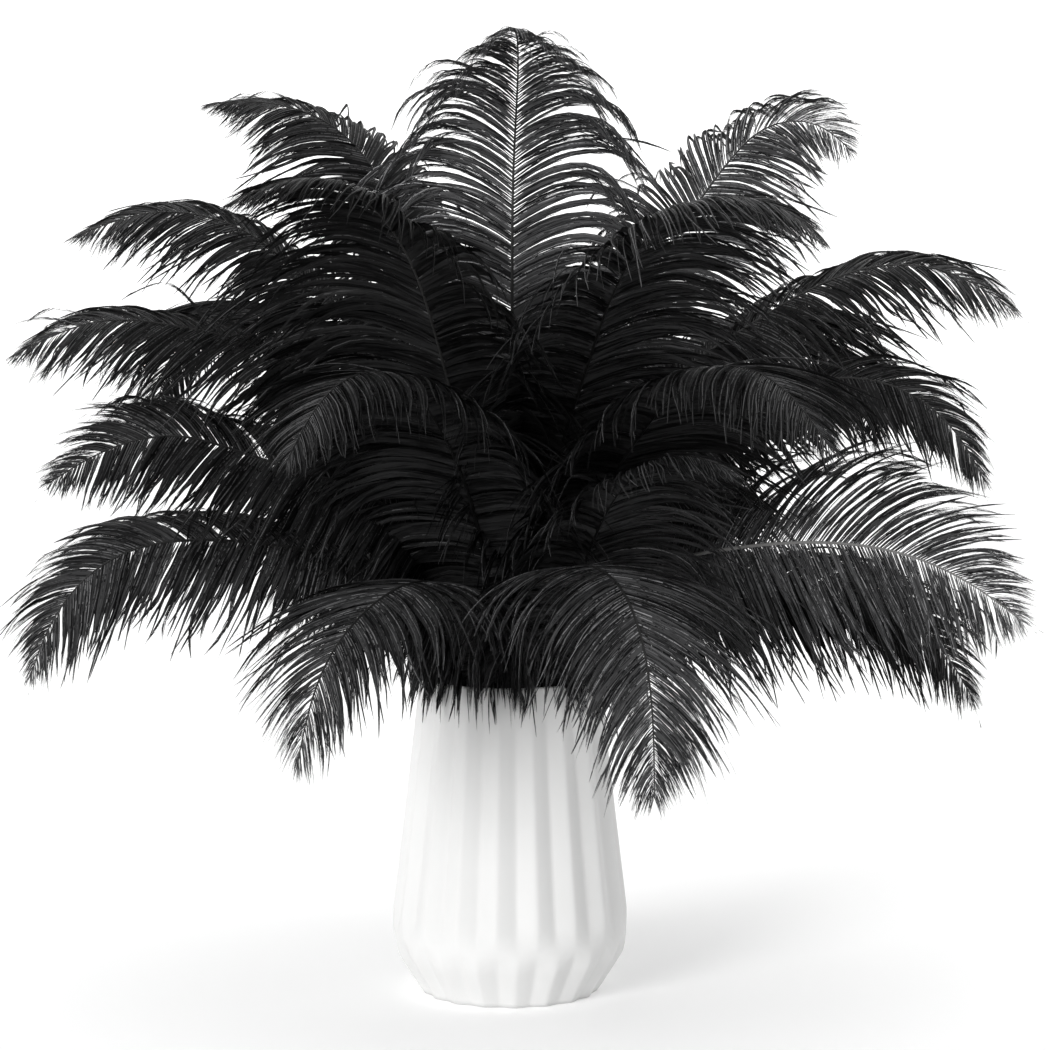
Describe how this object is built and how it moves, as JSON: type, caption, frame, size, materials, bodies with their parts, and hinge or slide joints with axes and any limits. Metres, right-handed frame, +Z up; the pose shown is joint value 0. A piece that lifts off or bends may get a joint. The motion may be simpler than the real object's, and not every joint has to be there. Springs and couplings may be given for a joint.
{
  "type": "ostrich feathers in a vase",
  "caption": "Fountain of drooping black ostrich feathers standing in an open fluted white ceramic vase.",
  "frame": {"origin": "centre of the vase's flat base, on the surface it stands on", "axes": "+Z up along the vase's axis, -Y towards the viewer of the front, +X to that viewer's right"},
  "size_m": [0.4995, 0.436, 0.4825],
  "materials": {
    "ceramic_white": "matte",
    "feather_black": "matte"
  },
  "bodies": {
    "root": {"vase": "ceramic_white", "feather_crest_left": "feather_black", "feather_crest_right": "feather_black", "feather_fountain_left": "feather_black", "feather_fountain_right": "feather_black", "feather_front_left": "feather_black", "feather_front_right": "feather_black", "feather_middle_left": "feather_black", "feather_low_left": "feather_black", "feather_bottom_left": "feather_black", "feather_upper_right": "feather_black", "feather_middle_right": "feather_black", "feather_low_right": "feather_black", "feather_bottom_right": "feather_black", "feather_inner_right": "feather_black", "feather_top_centre": "feather_black", "feather_top_left": "feather_black", "feather_top_right": "feather_black", "feather_upper_left": "feather_black", "feather_back_centre": "feather_black", "feather_back_left": "feather_black", "feather_back_right": "feather_black", "feather_back_low_left": "feather_black", "feather_back_low_right": "feather_black"}
  },
  "joints": []
}
